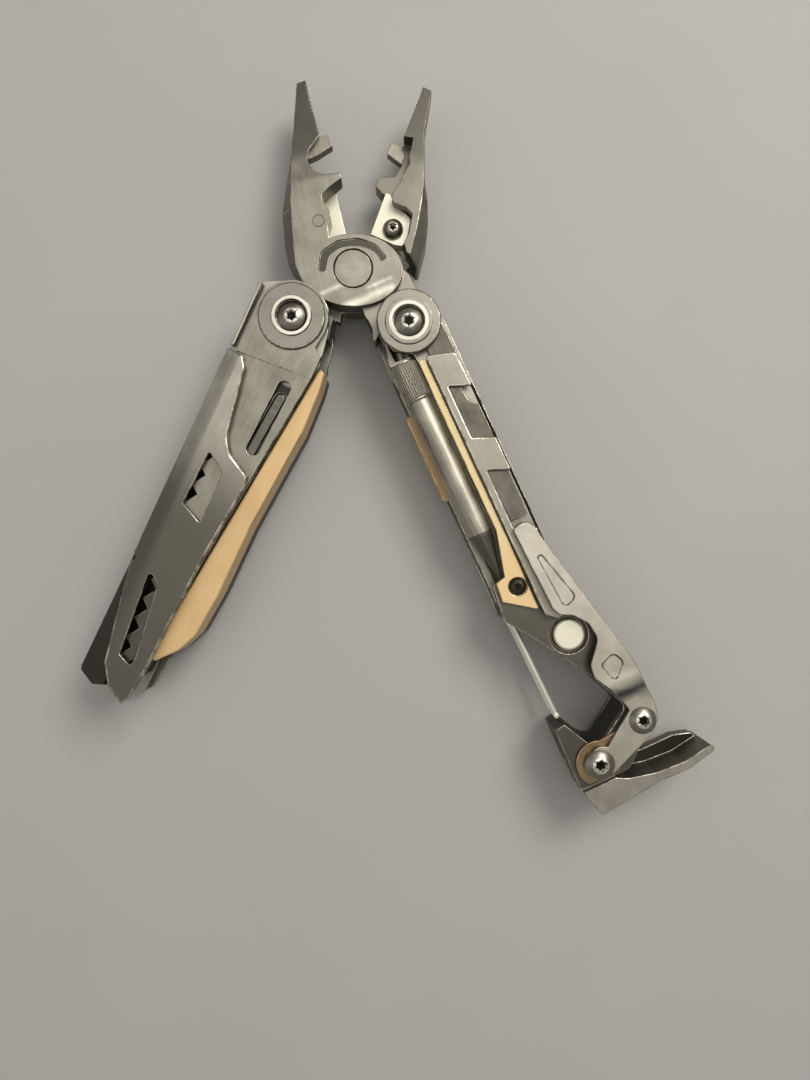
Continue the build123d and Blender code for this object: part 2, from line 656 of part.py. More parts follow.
def make_punch(place):
    axis = Pos(0, punch_offset, punch_height) * Rot(0, 90, 0)
    stub, collar, barrel = 6.45, 7.1, 16.0
    cone, tip = frame_start - 15.9, frame_start - 4.8
    profile = outline([
        (0, stub), (punch_stub_radius, stub), (punch_stub_radius, collar),
        (punch_collar_radius - 0.3, collar), (punch_collar_radius, collar + 0.3),
        (punch_collar_radius, barrel - 0.3), (punch_collar_radius - 0.3, barrel),
        (punch_radius - 0.3, barrel), (punch_radius, barrel + 0.4), (punch_radius, cone),
        (0.35, tip), (0, tip),
    ])
    turned = revolve(Rot(90, 0, 0) * profile, Axis.Z)
    add("punch", axis * turned, place)

    # The punch screws into an arm that turns on the boss of the jaw's tang.
    low, high = tang_half + 0.15, jaw_half + 0.05
    tongue = plate([(2.5, -3.2), (6.4, -2.9), (6.4, -7.7), (1.5, -6.4)], low, high)
    arm = post(6.6, low, high) + tongue
    arm = arm + block(6.4, 7.1, -7.7, -2.85, low, liner_out - 0.1)
    arm = arm - post(tang_boss_radius + pivot_clearance, 0, 20)
    arm = arm - axis * Cylinder(punch_stub_radius, 60)
    add("punch_arm", arm, place)


def make_drivers(place):
    arm = plate(stretched([
        (0, 6.3), (8.0, 6.6, 2.0), (15.2, 6.6, 0.4), (17.0, 4.2, 2.0), (21.0, 4.6, 1.5),
        (22.5, 6.4, 0.5), (34.0, 6.4, 0.4), (34.0, 1.3, 0.4), (6.0, 1.3), (0, 0),
    ]), blade_in, driver_out)
    arm = arm + post(6.35, blade_in, driver_out)
    fork = block(30.0 * stretch, 35.0 * stretch, 2.6, 5.2, 0, 20)
    add("bit_driver", arm - fork - post(bore, 0, 20), place)
    bit = plate(stretched([
        (30.0, 2.65), (30.0, 5.15), (34.1, 5.15), (34.6, 6.3, 0.4), (48.6, 6.0, 0.3),
        (48.6, 2.0, 0.3), (34.6, 1.6, 0.4), (34.1, 2.65),
    ]), blade_in, driver_out)
    add("flat_bit", bit, place)

    teeth = stretched([(18.4, 6.6, 0.4), (16.4, 1.8, 0.3), (28.6, 1.8, 0.3), (30.6, 6.6, 0.4),
                       (38.4, 6.6, 0.4), (36.4, 1.8, 0.3)])
    comb = plate([(8.3, 0.1, 0.4), (10.2, 6.3, 1.0)] + teeth + [
        (hook - 14.0, 1.8, 0.3), (hook - 12.0, 6.4, 0.5), (hook + 6.2, 6.8, 0.5),
        (hook + 8.0, 2.4, 0.4), (hook + 6.0, 0.1, 0.4),
    ], slim_cover_in, slim_cover_out)
    comb = chamfer(comb.edges().group_by(Axis.Z)[-1], 0.2)
    rib = block(9.0, hook + 5.5, 0.1, 0.95, liner_out, slim_cover_in)
    add("cover_right_front", comb + rib, place)

    hook_arm = plate(stretched([
        (0, 6.3), (10.0, 6.6, 2.0), (38.0, 6.3, 2.0), (44.0, 4.0, 2.0), (52.0, 4.6, 2.5),
        (55.5, 1.0, 2.5), (50.0, -3.6, 2.5), (44.5, -3.0, 1.0), (46.0, -0.4, 1.2),
        (50.4, 0.6, 0.8), (48.0, 1.8, 1.0), (41.0, -0.6, 2.0), (34.0, -5.0, 4.0),
        (6.0, -5.6, 2.0), (0, -6.3),
    ]), -blade_out, -blade_in)
    hook_arm = hook_arm + post(6.4, -blade_out, -blade_in) - post(bore, -20, 0)
    hook_arm = hook_arm - bar((16.0 * stretch, 1.0), (27.0 * stretch, 1.0), slot_width, -20, 0)
    add("hook_cutter", hook_arm, place)
    back_cover = plate([
        (10.4, right_spine + 0.1, 0.6), (12.0, -3.0, 1.5), (30.0 * stretch, -2.0, 6.0),
        (34.0 * stretch, 3.8, 2.5), (hook - 6.0, 5.6, 2.0), (hook + 4.0, 5.6, 1.5),
        (hook + 6.0, 0.0, 2.0), (hook + 1.0, right_spine + 0.1, 1.0),
    ], -cover_out, -cover_in)
    window = stretched([(38.0, -3.6, 0.8), (40.0, 1.6, 0.8), (52.0, 1.2, 0.8), (50.0, -4.2, 0.8)])
    back_cover = back_cover - plate(window, -20, 0)
    back_cover = chamfer(back_cover.edges().group_by(Axis.Z)[0], 0.25)
    back_wall = block(11.5, hook, right_spine + 0.1, right_spine + 1.0, -cover_in, -liner_out)
    add("cover_right_back", back_cover + back_wall, place)


def make_tan_plate(place):
    level = liner_out
    top = level + 1.2
    plan = [
        (8.3, -1.75, 0.2), (8.7, -0.2, 0.2), (hook - 6.0, -0.2), (hook + 4.6, -0.4, 0.4),
        (hook - 0.2, -7.0, 0.4), (hook - 4.5, -6.6, 0.3), (hook - 5.0, -4.3, 0.2),
        (hook - 15.0, -1.75),
    ]
    spot = (hook - 1.9, -2.6)
    scale = plate(plan, level, top)
    scale = chamfer(scale.edges().group_by(Axis.Z)[-1], 0.12)
    scale = scale - post(2.15, level + 0.4, top + 1, spot) - post(1.1, 0, 20, spot)
    add("tan_scale_right", scale, place)
    screw = domed_screw(2.05, level + 0.4, top + 0.1, 1.05, level, 0.9)
    add("tan_screw_right", Pos(*spot) * screw, place)


def make_clip(place):
    first, second = tail_screws
    plan = [
        (hook - 14.0, 1.3, 1.2), (hook - 14.6, 4.2, 1.6), (hook - 12.4, 5.8, 1.2),
        (hook - 6.4, 6.9, 6.0),
        (hook + 8.8, 10.2, 10.0), (hook + 22.0, 13.1, 10.0), (hook + 33.0, 13.8, 4.0),
        (hook + 36.6, 13.0, 2.0), (hook + 39.4, 9.6, 3.0), (hook + 43.4, -0.8, 1.5),
        (hook + 43.6, -5.6, 2.5), (hook + 38.6, -6.2, 2.5), (hook + 36.6, -1.6, 2.0),
        (hook + 37.6, 0.4, 0.5), (hook + 32.4, 8.0, 0.5), (hook + 30.6, 7.6, 0.5),
        (hook + 26.7, 6.1, 1.0), (hook + 22.6, 3.9, 1.5), (hook + 19.6, 4.3, 2.0),
        (hook + 15.3, 8.1, 2.5), (hook + 11.4, 7.7, 2.0), (hook + 8.4, 5.4, 2.0),
        (hook + 7.1, 2.8, 1.0), (hook + 5.4, 2.0, 1.5),
    ]
    blank = plate(plan, clip_base_in, clip_out)
    clip_rest = slim_cover_out + 0.03
    profile = side_profile([
        (hook - 11.4, clip_in), (hook - 13.1, clip_rest), (hook - 14.8, clip_rest),
        (hook - 14.8, clip_out - 0.4), (hook - 13.8, clip_out), (hook + 25.6, clip_out),
        (hook + 30.2, clip_base_out), (hook + 60, clip_base_out),
        (hook + 60, clip_base_in), (hook + 29.2, clip_base_in), (hook + 24.6, clip_in),
    ], 40)
    clip = blank & profile
    pad = plate([
        (hook - 6.2, 3.6, 0.5), (hook - 6.4, 4.6, 0.5), (hook + 5.0, 7.6, 1.2),
        (hook + 6.2, 4.4, 1.0),
    ], clip_out - 0.2, clip_out + 1)
    small_pad = plate([
        (hook + 19.2, 9.8, 1.2), (hook + 21.9, 11.0, 1.2), (hook + 25.2, 7.6, 0.8),
        (hook + 20.6, 6.3, 0.8),
    ], clip_out - 0.2, clip_out + 1)
    clip = clip - pad - small_pad
    add("pocket_clip", screw_holes(clip, clip_screw_radius), place)

    scraper = post(4.9, scraper_in, scraper_in + scraper_thickness, second)
    blade = plate([
        (second[0] + 2.0, second[1] + 3.0), (second[0] - 0.6, second[1] + 9.0, 0.5),
        (second[0] - 4.8, second[1] + 8.2, 0.5), (second[0] - 4.4, second[1] + 1.0),
    ], scraper_in, scraper_in + scraper_thickness)
    scraper = scraper + blade - post(clip_screw_radius + 0.05, 0, 20, second)
    scraper = scraper - block(second[0] + 3.3, second[0] + 9.0, -20, 20, 0, 20)
    add("bronze_scraper", scraper, place)
    collar = post(3.0, liner_out, clip_base_in, first) - post(clip_screw_radius, 0, 20, first)
    add("clip_spacer", collar, place)

    seat = clip_base_out
    end = -liner_out - 1.2
    top = cover_out + 0.1
    screws = [
        Pos(*spot) * domed_screw(radius, seat, top, clip_screw_radius, end, socket)
        for spot, radius, socket in ((first, clip_screw_head, 1.3), (second, tail_screw_head, 1.4))
    ]
    add("clip_screws", Compound(children=screws), place)
    nut = Pos(0, 0, -liner_out - nut_height) * extrude(RegularPolygon(nut_radius, 6), nut_height)
    nut = nut - post(clip_screw_radius, -20, 0)
    add("clip_nuts", Compound(children=[Pos(*first) * nut, Pos(*second) * nut]), place)


def make_hammer(place):
    """Hammer face with a scooped pry edge reaching out to the right."""
    rim = [
        (right_length, -6.7, 0.5), (right_length - 1.5, 8.2, 2.0),
        (right_length - 1.2, 14.8, 2.0), (right_length - 2.7, 22.0, 0.7),
        (right_length - 4.2, 21.4, 0.5), (right_length - 3.2, 14.6, 2.0),
        (right_length - 3.6, 8.0, 2.0), (right_length - 5.0, 2.0, 2.0),
    ]
    root, step = hook + 39.4, hook + 45.1
    strike = plate([(root, -8.3), (step, -8.5, 0.4)] + rim + [(step, -0.6, 0.8), (root, -0.6)],
                   -channel_half, channel_half)
    cheek = plate([(step, -8.3)] + rim + [(step, -0.6, 0.8)], -hammer_half, hammer_half)
    scoop = plate([
        (root, -1.0), (root, 4.3), (hook + 44.9, 7.6, 1.5), (hook + 44.9, 16.4, 4.0),
        (hook + 46.2, 20.6, 1.0), (right_length - 3.9, 20.8), (right_length - 3.0, 14.6),
        (right_length - 3.4, 8.0), (right_length - 4.0, 0.0),
    ], -channel_half, scoop_floor)
    body = strike + cheek + scoop - post(clip_screw_radius, -30, 30, tail_screws[1])
    add("hammer_head", body, place)


def make_carabiner_handle():
    place = Pos(right_pivot[0], right_pivot[1], 0) * Rot(0, 0, right_angle)
    make_shells(place)
    make_carabiner(place)
    make_button(place)
    make_punch(place)
    make_drivers(place)
    make_tan_plate(place)
    make_clip(place)
    make_hammer(place)
    pivot_hardware("right", place, right_washer_radius, 3.4, 5.1)


make_pliers()
make_blade_handle()
make_carabiner_handle()

# ---- stand the tool on z = 0, centred on the middle of its underside ----
everything = Compound(children=[solid for shape in parts.values() for solid in shape.solids()])
bounds = everything.bounding_box()
shift = Pos(-(bounds.min.X + bounds.max.X) / 2, -(bounds.min.Y + bounds.max.Y) / 2, -bounds.min.Z)

os.makedirs("parts", exist_ok=True)
for name, shape in parts.items():
    export_step(single(shift * shape), "parts/" + name + ".step")
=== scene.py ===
import json
import math

import bmesh
import bpy
from mathutils import Matrix, Vector
from mathutils.bvhtree import BVHTree
from mathutils.kdtree import KDTree


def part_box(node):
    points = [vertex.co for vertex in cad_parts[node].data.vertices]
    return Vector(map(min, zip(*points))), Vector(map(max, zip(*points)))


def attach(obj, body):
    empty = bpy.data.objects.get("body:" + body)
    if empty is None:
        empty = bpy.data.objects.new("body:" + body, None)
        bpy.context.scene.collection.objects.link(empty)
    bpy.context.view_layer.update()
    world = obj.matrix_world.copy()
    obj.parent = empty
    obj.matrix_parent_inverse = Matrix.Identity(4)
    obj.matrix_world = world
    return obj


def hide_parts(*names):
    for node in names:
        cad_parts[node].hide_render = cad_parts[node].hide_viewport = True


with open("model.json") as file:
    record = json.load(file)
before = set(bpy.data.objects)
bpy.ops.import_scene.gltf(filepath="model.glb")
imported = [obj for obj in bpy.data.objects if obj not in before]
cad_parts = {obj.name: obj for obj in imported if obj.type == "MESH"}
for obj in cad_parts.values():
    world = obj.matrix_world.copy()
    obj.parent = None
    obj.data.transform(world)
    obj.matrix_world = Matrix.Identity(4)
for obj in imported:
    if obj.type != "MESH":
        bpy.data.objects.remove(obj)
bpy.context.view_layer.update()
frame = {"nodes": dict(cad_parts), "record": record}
cad = frame["nodes"]
bodies = frame["record"]["behaviour"]["bodies"]
bodyOf = {node: body for body, members in bodies.items() for node in members}
millimetre = 0.001
print("frame loaded:", len(cad), "nodes")


class Flow:
    # one shader socket that takes part in sums like a number
    def __init__(self, shader, socket):
        self.shader = shader
        self.socket = socket

    def sum(self, operation, first, second=0.0):
        return self.shader.node(
            "ShaderNodeMath", {"operation": operation}, {0: first, 1: second})

    def __add__(self, other):
        return self.sum("ADD", self, other)

    def __radd__(self, other):
        return self.sum("ADD", other, self)

    def __sub__(self, other):
        return self.sum("SUBTRACT", self, other)

    def __rsub__(self, other):
        return self.sum("SUBTRACT", other, self)

    def __mul__(self, other):
        return self.sum("MULTIPLY", self, other)

    def __rmul__(self, other):
        return self.sum("MULTIPLY", other, self)

    def __pow__(self, other):
        return self.sum("POWER", self, other)

    def size(self):
        return self.sum("ABSOLUTE", self)

    def wave(self):
        return self.sum("SINE", self)

    def angle(self, other):
        return self.sum("ARCTAN2", self, other)

    def step(self, low, high):
        # 0 below low, 1 above high, smooth between
        settings = {"interpolation_type": "SMOOTHSTEP"}
        return self.shader.node("ShaderNodeMapRange", settings, {0: self, 1: low, 2: high})


class Shader:
    def __init__(self, name):
        self.material = bpy.data.materials.new(name)
        self.material.use_nodes = True
        self.tree = self.material.node_tree
        self.tree.nodes.clear()
        self.place = self.node("ShaderNodeTexCoord", {}, {}, "Object")

    def node(self, kind, settings, sockets, output=0):
        # any node: its settings first, then the values or links of its sockets
        new = self.tree.nodes.new(kind)
        for key, value in settings.items():
            setattr(new, key, value)
        for key, value in sockets.items():
            if isinstance(value, Flow):
                self.tree.links.new(value.socket, new.inputs[key])
            else:
                new.inputs[key].default_value = value
        return Flow(self, new.outputs[output]) if len(new.outputs) else None

    def spread(self, centre, angle):
        # object coordinates in mm from a centre, turned so that x runs along the angle
        return self.node("ShaderNodeMapping", {"vector_type": "TEXTURE"}, {
            "Vector": self.place, "Location": centre, "Rotation": (0, 0, math.radians(angle)),
            "Scale": (millimetre, millimetre, millimetre)})

    def turned(self, angle=0.0, scale=(1, 1, 1), move=(0, 0, 0)):
        # the same with the pattern stretched and shifted
        return self.node("ShaderNodeMapping", {}, {
            "Vector": self.spread((0, 0, 0), angle), "Scale": scale, "Location": move})

    def local(self, centre, angle):
        # the three distances from a centre, each as a number
        split = self.node("ShaderNodeSeparateXYZ", {}, {0: self.spread(centre, angle)})
        outputs = split.socket.node.outputs
        return [Flow(self, outputs[axis]) for axis in range(3)]

    def mark(self, stain):
        # mask of one stain: a ring, a rounded bar or everything past a line
        x, y, z = self.local(stain["at"], stain.get("turn", 0.0))
        if "below" in stain:
            whole = {key: value for key, value in stain.items() if key != "below"}
            return self.mark(whole) * (stain["below"] - z).step(-0.04, 0.04)
        if stain["kind"] == "past":
            return x.step(stain["low"], stain["high"])
        soft = stain["soft"]
        if stain["kind"] == "ring":
            away = (x * x + y * y) ** 0.5
            inside = (stain["outer"] - away).step(-soft, soft)
            return inside * (away - stain["inner"]).step(-soft, soft)
        length, width = stain["size"]
        return (length - x.size()).step(-soft, soft) * (width - y.size()).step(-soft, soft)

    def noise(self, where, scale, detail=3.0, rough=0.55):
        return self.node("ShaderNodeTexNoise", {}, {
            "Vector": where, "Scale": scale, "Detail": detail, "Roughness": rough})

    def blend(self, amount, first, second):
        return self.node(
            "ShaderNodeMix", {"data_type": "RGBA"}, {0: amount, 6: first, 7: second}, 2)

    def bump(self, height, depth):
        return self.node("ShaderNodeBump", {}, {
            "Height": height, "Distance": depth * millimetre})

    def finish(self, sockets):
        surface = self.node("ShaderNodeBsdfPrincipled", {}, sockets)
        self.node("ShaderNodeOutputMaterial", {}, {"Surface": surface})
        return self.material


def rgb(red, green, blue):
    return (red, green, blue, 1)


# directions along the pieces, in degrees from +X
ways = {"left": 245.6, "right": -65.2, "frontJaw": 104.0, "backJaw": 69.7, "flat": 0.0}

# what all metal finishes share: sizes of patterns, cuts that make masks of them, and shares
wear = {
    "cloudScale": 0.16,
    "scratches": ((37, 0.30), (-52, 0.26), (8, 0.22)), "scratchScale": (0.16, 5.5, 1.0),
    "scratchCut": (0.70, 0.76), "patchScale": 0.22, "patchCut": (0.52, 0.68),
    "speckScale": 2.4, "speckCut": (0.76, 0.80), "toneCut": (0.1, 0.9),
    "roughBrushed": 0.16, "roughClouds": 0.18, "roughScratch": 0.12,
    "brushedHeight": 0.6, "grainHeight": 0.5, "scratchHeight": 0.8, "depth": 0.012,
    # the flute colour and fluteShade paint shade into the flute valleys
    "fluteSoft": 0.05, "fluteShade": 0.4, "fluteShadeColour": (0.05, 0.047, 0.04), "fluteHeight": 16.0,
    "rubScale": 0.35, "fineScale": 3.0, "fineShare": 0.35, "edgeDepth": 0.01,
    "edgeRough": 0.42, "edgePolish": 0.16,
}


def scratchMask(shader, way):
    # straight scratches in three directions, in patches
    mask = 0.0
    for turn, share in wear["scratches"]:
        stretched = shader.turned(ways[way] + turn, wear["scratchScale"], (turn, 3, 7))
        lines = shader.noise(stretched, 1.0, detail=2.0, rough=0.4)
        moved = shader.turned(move=(turn, 9, 1))
        patch = shader.noise(moved, wear["patchScale"], detail=1.0)
        patch = patch.step(*wear["patchCut"])
        mask = (lines.step(*wear["scratchCut"]) * patch * share) + mask
    return mask


def steel(name, way, look, stains=()):
    # brushed, scratched and mottled metal; look holds what sets one finish apart
    shader = Shader(name)
    across = look.get("across", 3.2)
    flat = shader.turned(ways[way])
    fibres = shader.turned(ways[way], (look.get("along", 0.12), across, across))
    brushed = shader.noise(fibres, 1.0, detail=4.0, rough=0.6)
    clouds = shader.noise(flat, wear["cloudScale"], detail=4.0, rough=0.6)
    grain = shader.noise(flat, look.get("grain", 5.0), detail=2.0, rough=0.5)
    mask = scratchMask(shader, way)
    specks = shader.noise(flat, wear["speckScale"], detail=1.0, rough=0.4)
    specks = specks.step(*wear["speckCut"])
    scratch = (mask * look["scratch"]) + specks * look.get("speck", 0.25)
    tone = (brushed - 0.5) * look["streak"] + (clouds - 0.5) * look.get("mottle", 0.7) + 0.5
    colour = shader.blend(tone.step(*wear["toneCut"]), rgb(*look["dark"]), rgb(*look["light"]))
    bare = look.get("bare", (0.62, 0.59, 0.53))
    colour = shader.blend(scratch.step(0.0, 1.0), colour, rgb(*bare))
    for stain in stains:
        uneven = (clouds - 0.5) * stain.get("ragged", 0.0) + 1.0
        amount = shader.mark(stain) * stain["share"] * uneven
        colour = shader.blend(amount.step(0.0, 1.0), colour, rgb(*stain["colour"]))
    rough = look["rough"] + (brushed - 0.5) * wear["roughBrushed"]
    rough = rough + (clouds - 0.5) * wear["roughClouds"] - scratch * wear["roughScratch"]
    height = brushed * wear["brushedHeight"] + grain * wear["grainHeight"]
    height = height - mask * wear["scratchHeight"]
    if "flutes" in look:
        row, soft = look["flutes"], wear["fluteSoft"]
        x, y, z = shader.local(look["axis"], ways[way])
        collar = (x - row["start"]).step(-soft, soft) * (row["end"] - x).step(-soft, soft)
        ridge = (y.angle(z) * row["count"]).wave() * 0.5 + 0.5
        # painted shade: the valleys between the flutes are darkened
        valley = collar * (1.0 - ridge) * wear["fluteShade"]
        colour = shader.blend(valley, colour, rgb(*wear["fluteShadeColour"]))
        height = height + ridge * collar * wear["fluteHeight"]
    return shader.finish({
        "Base Color": colour, "Metallic": look.get("metal", 1.0), "Roughness": rough,
        "Normal": shader.bump(height, wear["depth"])})


def wornEdge(name, way, look):
    # the bevelled edges: bare metal where it is rubbed, coating where it is not
    shader = Shader(name)
    flat = shader.turned(ways[way])
    rub = shader.noise(flat, wear["rubScale"], detail=3.0, rough=0.6)
    fine = shader.noise(flat, wear["fineScale"], detail=2.0, rough=0.5)
    worn = (rub + (fine - 0.5) * wear["fineShare"]).step(
        look.get("from", 0.35), look.get("to", 0.62))
    colour = shader.blend(worn, rgb(*look["dark"]), rgb(*look["edge"]))
    return shader.finish({
        "Base Color": colour, "Metallic": 1.0,
        "Roughness": wear["edgeRough"] - worn * wear["edgePolish"],
        "Normal": shader.bump(fine, wear["edgeDepth"])})


# finishes: colours, roughness, and how strongly each is brushed, mottled and scratched
looks = {
    "jaw": {"dark": (0.25, 0.23, 0.19), "light": (0.43, 0.40, 0.335), "rough": 0.40,
            "streak": 0.5, "mottle": 0.8, "scratch": 1.0, "across": 2.2},
    "oxide": {"dark": (0.22, 0.205, 0.165), "light": (0.46, 0.43, 0.355), "rough": 0.40,
              "streak": 0.45, "mottle": 0.9, "scratch": 0.8},
    "tang": {"dark": (0.38, 0.355, 0.30), "light": (0.60, 0.565, 0.48), "rough": 0.40,
             "streak": 0.5, "mottle": 0.8, "scratch": 0.9},
    "frame": {"dark": (0.08, 0.074, 0.06), "light": (0.21, 0.195, 0.16), "rough": 0.40,
              "streak": 0.45, "mottle": 0.9, "scratch": 0.8},
    "deep": {"dark": (0.035, 0.032, 0.026), "light": (0.10, 0.092, 0.076), "rough": 0.45,
             "streak": 0.4, "scratch": 0.5},
    "blade": {"dark": (0.12, 0.112, 0.09), "light": (0.26, 0.245, 0.205), "rough": 0.36,
              "streak": 0.8, "mottle": 0.5, "along": 2.4, "across": 0.1, "scratch": 0.6},
    "cover": {"dark": (0.25, 0.233, 0.195), "light": (0.42, 0.39, 0.325), "rough": 0.43,
              "streak": 0.25, "mottle": 0.7, "scratch": 0.35, "grain": 7.0},
    "clip": {"dark": (0.42, 0.39, 0.32), "light": (0.70, 0.655, 0.55), "rough": 0.36,
             "streak": 0.25, "mottle": 0.9, "scratch": 0.35, "grain": 7.0},
    "satin": {"dark": (0.28, 0.26, 0.21), "light": (0.62, 0.58, 0.485), "rough": 0.45,
              "streak": 0.9, "mottle": 1.0, "scratch": 0.9, "across": 4.0, "grain": 3.0,
              "speck": 0.9},
    "bright": {"dark": (0.86, 0.81, 0.64), "light": (1.0, 0.96, 0.78), "rough": 0.30,
               "streak": 0.4, "mottle": 0.5, "scratch": 0.3, "metal": 0.5},
    "wire": {"dark": (0.85, 0.82, 0.72), "light": (1.0, 0.97, 0.86), "rough": 0.22,
             "streak": 0.3, "mottle": 0.3, "scratch": 0.1, "metal": 0.6},
    "screw": {"dark": (0.18, 0.168, 0.138), "light": (0.46, 0.43, 0.36), "rough": 0.34,
              "streak": 0.3, "mottle": 0.6, "scratch": 0.5, "grain": 4.0},
    "washer": {"dark": (0.24, 0.225, 0.19), "light": (0.40, 0.375, 0.32), "rough": 0.36,
               "streak": 0.3, "mottle": 0.6, "scratch": 0.7},
    "bronze": {"dark": (0.20, 0.135, 0.075), "light": (0.44, 0.31, 0.18), "rough": 0.36,
               "streak": 0.5, "scratch": 0.3, "bare": (0.85, 0.6, 0.33)},
    "tan": {"dark": (0.74, 0.48, 0.22), "light": (0.95, 0.67, 0.34), "rough": 0.42,
            "metal": 0.12, "streak": 0.35, "mottle": 0.8, "scratch": 0.3, "grain": 6.0,
            "bare": (1.0, 0.88, 0.66), "speck": 0.2},
    "strip": {"dark": (0.92, 0.68, 0.33), "light": (1.0, 0.82, 0.47), "rough": 0.38,
              "metal": 0.12, "streak": 0.3, "mottle": 0.6, "scratch": 0.3,
              "bare": (1.0, 0.92, 0.75)},
}
# the same finishes on the bevelled edges, and how far the wear has spread
edges = {
    "jaw": {"dark": (0.2, 0.19, 0.155), "edge": (0.62, 0.58, 0.49), "from": 0.42, "to": 0.7},
    "oxide": {"dark": (0.14, 0.13, 0.105), "edge": (0.82, 0.76, 0.62), "from": 0.32, "to": 0.58},
    "tang": {"dark": (0.2, 0.19, 0.155), "edge": (0.7, 0.66, 0.56), "from": 0.36, "to": 0.64},
    "frame": {"dark": (0.1, 0.095, 0.08), "edge": (0.66, 0.61, 0.5), "from": 0.36, "to": 0.62},
    "deep": {"dark": (0.03, 0.028, 0.022), "edge": (0.3, 0.28, 0.23), "from": 0.5, "to": 0.75},
    "blade": {"dark": (0.1, 0.095, 0.08), "edge": (0.5, 0.47, 0.4), "from": 0.4, "to": 0.7},
    "cover": {"dark": (0.4, 0.375, 0.31), "edge": (0.88, 0.83, 0.7)},
    "clip": {"dark": (0.42, 0.39, 0.32), "edge": (0.85, 0.8, 0.68), "from": 0.45, "to": 0.75},
    "satin": {"dark": (0.3, 0.28, 0.23), "edge": (0.85, 0.8, 0.69)},
    "bright": {"dark": (0.7, 0.66, 0.54), "edge": (1.0, 0.96, 0.82)},
    "wire": {"dark": (0.8, 0.77, 0.67), "edge": (1.0, 0.97, 0.86)},
    "screw": {"dark": (0.1, 0.095, 0.08), "edge": (0.72, 0.68, 0.58), "from": 0.3, "to": 0.55},
    "washer": {"dark": (0.16, 0.15, 0.12), "edge": (0.62, 0.58, 0.49), "from": 0.4, "to": 0.65},
    "bronze": {"dark": (0.3, 0.18, 0.08), "edge": (0.85, 0.6, 0.35)},
    "tan": {"dark": (0.6, 0.38, 0.18), "edge": (1.0, 0.8, 0.5), "from": 0.38, "to": 0.7},
    "strip": {"dark": (0.7, 0.48, 0.24), "edge": (1.0, 0.9, 0.62)},
}
# painted shade: the upright faces get a copy of each finish darkened by these shares, blacker
# than the level tops
shade = {
    "jaw": 0.45, "oxide": 0.3, "frame": 0.4, "tang": 0.3, "deep": 0.5, "blade": 0.5,
    "cover": 0.35, "clip": 0.4, "satin": 0.8, "bright": 0.8, "wire": 0.9, "screw": 0.6,
    "washer": 0.5, "bronze": 0.6, "tan": 0.72, "strip": 0.7,
}

# which finish, edge width in mm and direction each CAD piece gets
dress = {
    "jaw_front": ("jaw", 0.16, "frontJaw"),
    "jaw_back": ("jaw", 0.16, "backJaw"),
    "crimper_front": ("jaw", 0.12, "frontJaw"),
    "crimper_back": ("jaw", 0.12, "backJaw"),
    "cutter_insert_front": ("bright", 0.12, "frontJaw"),
    "cutter_insert_back": ("bright", 0.12, "backJaw"),
    "cutter_screw_front": ("jaw", 0.05, "flat"),
    "cutter_screw_back": ("screw", 0.1, "flat"),
    "plier_pivot_pin": ("jaw", 0.1, "flat"),
    "liner_left_front": ("tang", 0.12, "left"),
    "liner_left_back": ("oxide", 0.12, "left"),
    "lock_spring_left_front": ("blade", 0.12, "left"),
    "lock_spring_left_back": ("jaw", 0.12, "left"),
    "tan_scale_left": ("tan", 0.12, "left"),
    "spine_left": ("deep", 0.2, "left"),
    "tail_spacer_left": ("deep", 0.15, "left"),
    "jaw_stop_pin_left": ("satin", 0.1, "left"),
    "cover_left_front": ("tang", 0.2, "left"),
    "cover_left_back": ("oxide", 0.2, "left"),
    "saw": ("oxide", 0.1, "left"),
    "knife": ("blade", 0.08, "left"),
    "pivot_sleeve_left": ("satin", 0.1, "flat"),
    "washers_left": ("washer", 0.12, "flat"),
    "pivot_screws_left": ("screw", 0.12, "flat"),
    "liner_right_front": ("oxide", 0.14, "right"),
    "frame_right_back": ("oxide", 0.14, "right"),
    "tan_spine_right": ("tan", 0.12, "right"),
    "carabiner_frame": ("frame", 0.2, "right"),
    "gate": ("wire", 0.05, "right"),
    "gate_pin": ("satin", 0.08, "right"),
    "gate_spring": ("satin", 0.05, "right"),
    "release_button": ("bright", 0.08, "flat"),
    "button_spring": ("satin", 0.05, "flat"),
    "punch": ("satin", 0.06, "right"),
    "punch_arm": ("oxide", 0.12, "right"),
    "bit_driver": ("frame", 0.12, "right"),
    "flat_bit": ("frame", 0.1, "right"),
    "cover_right_front": ("cover", 0.14, "right"),
    "cover_right_back": ("oxide", 0.16, "right"),
    "hook_cutter": ("blade", 0.12, "right"),
    "tan_scale_right": ("strip", 0.08, "right"),
    "tan_screw_right": ("deep", 0.08, "flat"),
    "pocket_clip": ("clip", 0.2, "right"),
    "bronze_scraper": ("bronze", 0.12, "right"),
    "clip_spacer": ("oxide", 0.1, "right"),
    "clip_screws": ("screw", 0.14, "flat"),
    "clip_nuts": ("screw", 0.14, "flat"),
    "hammer_head": ("tang", 0.2, "right"),
    "pivot_sleeve_right": ("satin", 0.1, "flat"),
    "washers_right": ("washer", 0.12, "flat"),
    "pivot_screws_right": ("screw", 0.12, "flat"),
}


def middleOf(node):
    low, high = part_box(node)
    return (low + high) / 2


def directions(way):
    # along a handle and to its left
    turn = math.radians(ways[way])
    return (Vector((math.cos(turn), math.sin(turn), 0)),
            Vector((-math.sin(turn), math.cos(turn), 0)))


def alongFrom(start, way, along, side=0.0):
    # a spot given in mm along a handle and to its left
    forward, left = directions(way)
    return start + (forward * along + left * side) * millimetre


leftPivot = middleOf("pivot_screws_left")
rightPivot = middleOf("pivot_screws_right")
jawPivot = middleOf("plier_pivot_pin")
tailScrews = [alongFrom(rightPivot, "right", *spot) for spot in ((99.5, 9.7), (104.4, -2.7))]
# painted shade: the first and last of these colours paint gaps, grooves and screw sockets; the
# light one serves worn spots and painted highlights
shadeBlack = (0.012, 0.011, 0.009)
paleWearAndHighlight = (0.92, 0.88, 0.76)
socketShade = (0.016, 0.015, 0.012)


